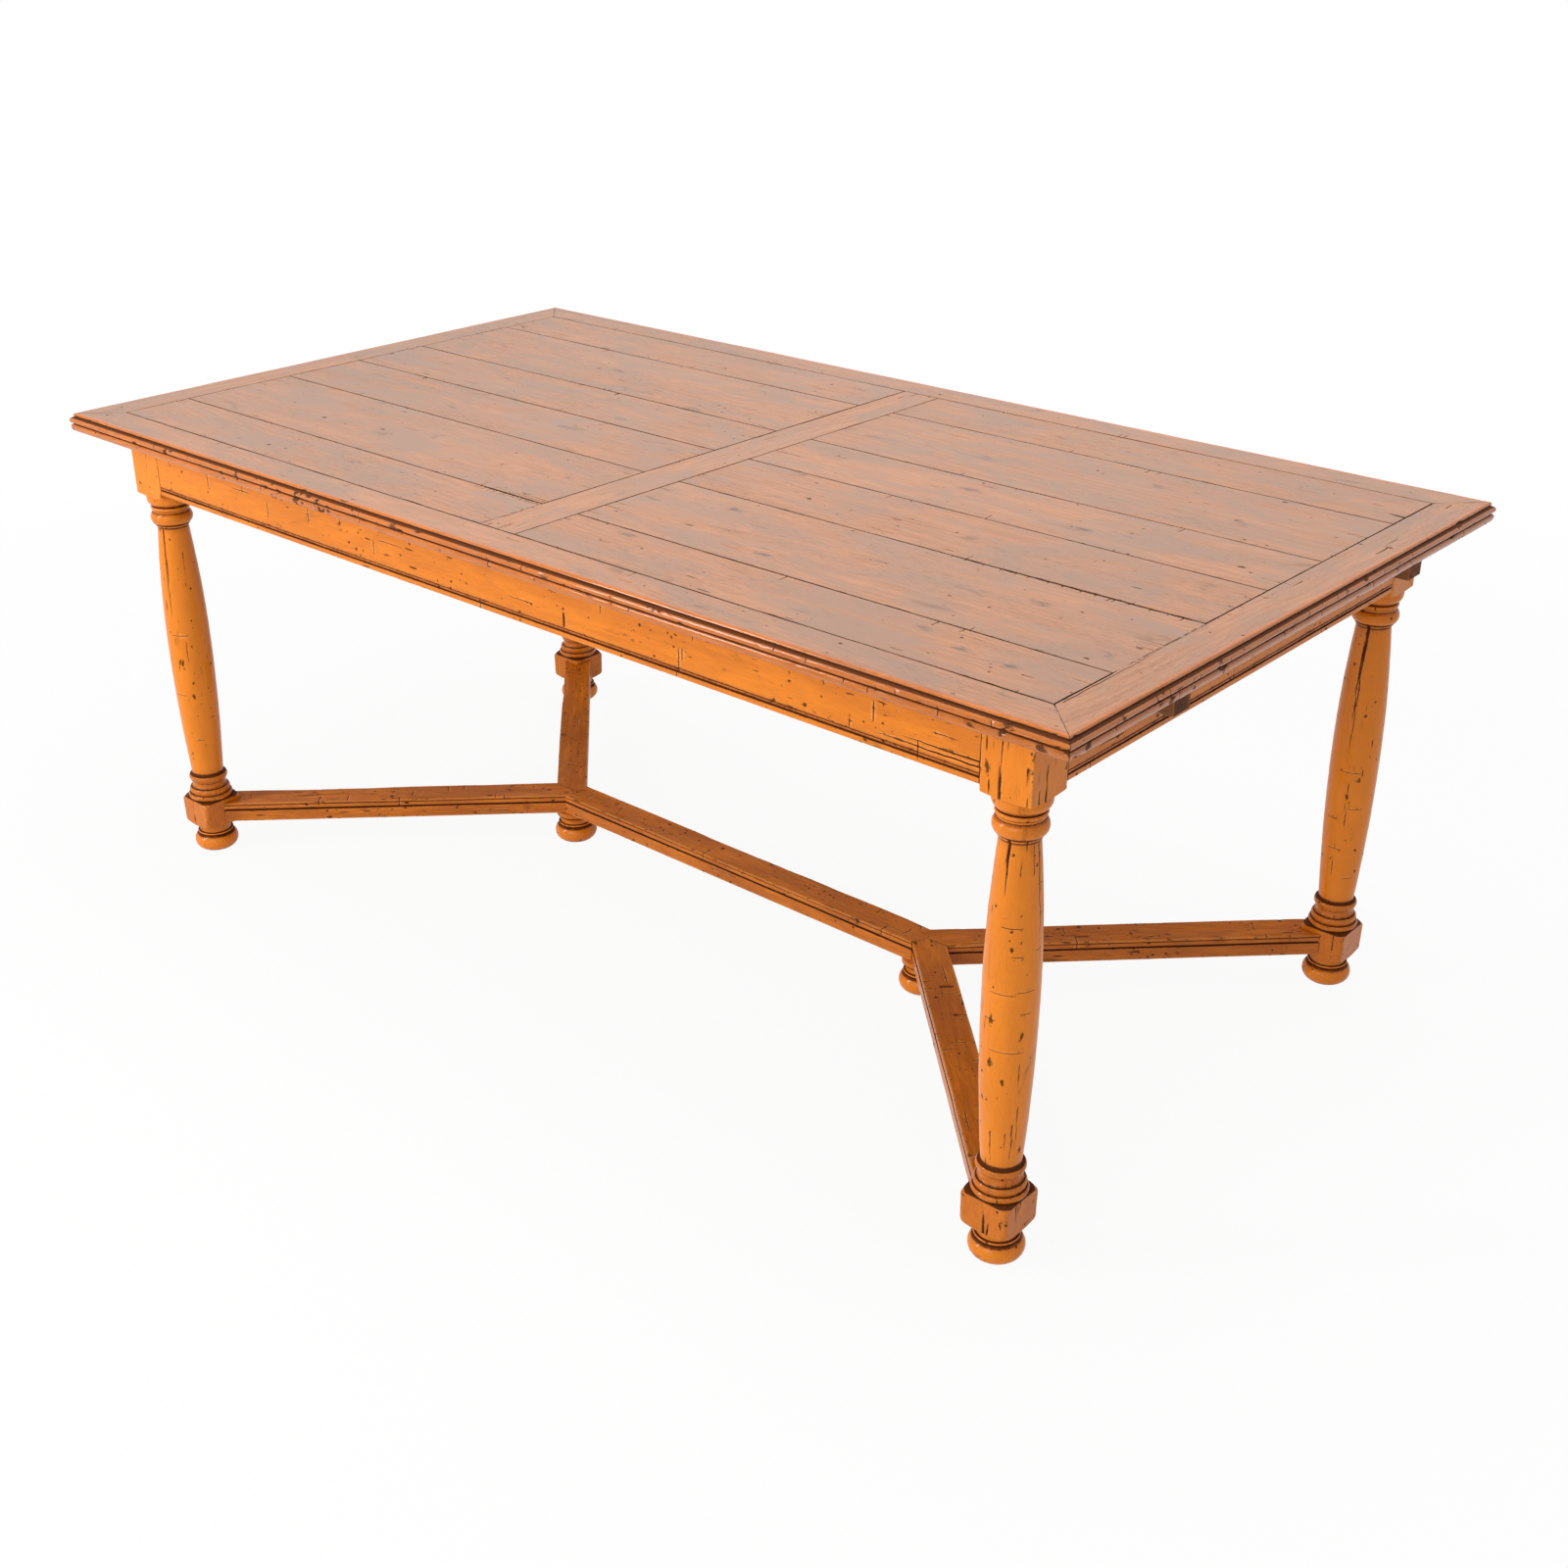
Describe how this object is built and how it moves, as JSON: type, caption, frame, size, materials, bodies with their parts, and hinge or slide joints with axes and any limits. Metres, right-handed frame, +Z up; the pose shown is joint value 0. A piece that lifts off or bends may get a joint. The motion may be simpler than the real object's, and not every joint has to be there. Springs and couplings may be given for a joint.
{
  "type": "harvest dining table",
  "caption": "Rectangular dining table with a mitred frame and plank top, turned legs, a double-Y stretcher on bun feet and pull-out leaf supports under the ends.",
  "frame": {"origin": "on the floor under the middle of the table", "axes": "+X along the length to the right seen from the front, +Y to the back, +Z up"},
  "size_m": [1.936, 1.07, 0.78],
  "materials": {
    "top_wood": "satin",
    "base_wood": "gloss",
    "loper_wood": "satin",
    "hidden_wood": "matte",
    "steel": "zinc plated"
  },
  "bodies": {
    "table": {"apron_back": "base_wood", "apron_cleat_back": "hidden_wood", "apron_cleat_front": "hidden_wood", "apron_front": "base_wood", "apron_left": "base_wood", "apron_right": "base_wood", "brace_bolts": "steel", "brace_nuts": "steel", "centre_bearer": "hidden_wood", "centre_board": "top_wood", "corner_brace_left_back": "hidden_wood", "corner_brace_left_front": "hidden_wood", "corner_brace_right_back": "hidden_wood", "corner_brace_right_front": "hidden_wood", "end_border_left": "top_wood", "end_border_right": "top_wood", "end_cleat_left": "hidden_wood", "end_cleat_right": "hidden_wood", "fork_left_back": "base_wood", "fork_left_front": "base_wood", "fork_right_back": "base_wood", "fork_right_front": "base_wood", "junction_foot_left": "base_wood", "junction_foot_right": "base_wood", "leg_left_back": "base_wood", "leg_left_front": "base_wood", "leg_right_back": "base_wood", "leg_right_front": "base_wood", "long_border_back": "top_wood", "long_border_front": "top_wood", "loper_guide_left_back": "hidden_wood", "loper_guide_left_front": "hidden_wood", "loper_guide_right_back": "hidden_wood", "loper_guide_right_front": "hidden_wood", "loper_stops": "hidden_wood", "mitre_splines": "hidden_wood", "plank_left_1": "top_wood", "plank_left_2": "top_wood", "plank_left_3": "top_wood", "plank_left_4": "top_wood", "plank_left_5": "top_wood", "plank_left_6": "top_wood", "plank_right_1": "top_wood", "plank_right_2": "top_wood", "plank_right_3": "top_wood", "plank_right_4": "top_wood", "plank_right_5": "top_wood", "plank_right_6": "top_wood", "stretcher_beam": "base_wood", "stretcher_dowels": "hidden_wood", "top_screws": "steel"},
    "support_left_front": {"loper_left_front": "loper_wood", "loper_pin_left_front": "hidden_wood"},
    "support_left_back": {"loper_left_back": "loper_wood", "loper_pin_left_back": "hidden_wood"},
    "support_right_front": {"loper_right_front": "loper_wood", "loper_pin_right_front": "hidden_wood"},
    "support_right_back": {"loper_right_back": "loper_wood", "loper_pin_right_back": "hidden_wood"}
  },
  "joints": [
    {"name": "support_left_front_slide", "type": "slide", "parent": "table", "child": "support_left_front", "axis": [-1, 0, 0], "range_m": [0, 0.38]},
    {"name": "support_left_back_slide", "type": "slide", "parent": "table", "child": "support_left_back", "axis": [-1, 0, 0], "range_m": [0, 0.38]},
    {"name": "support_right_front_slide", "type": "slide", "parent": "table", "child": "support_right_front", "axis": [1, 0, 0], "range_m": [0, 0.38]},
    {"name": "support_right_back_slide", "type": "slide", "parent": "table", "child": "support_right_back", "axis": [1, 0, 0], "range_m": [0, 0.38]}
  ]
}
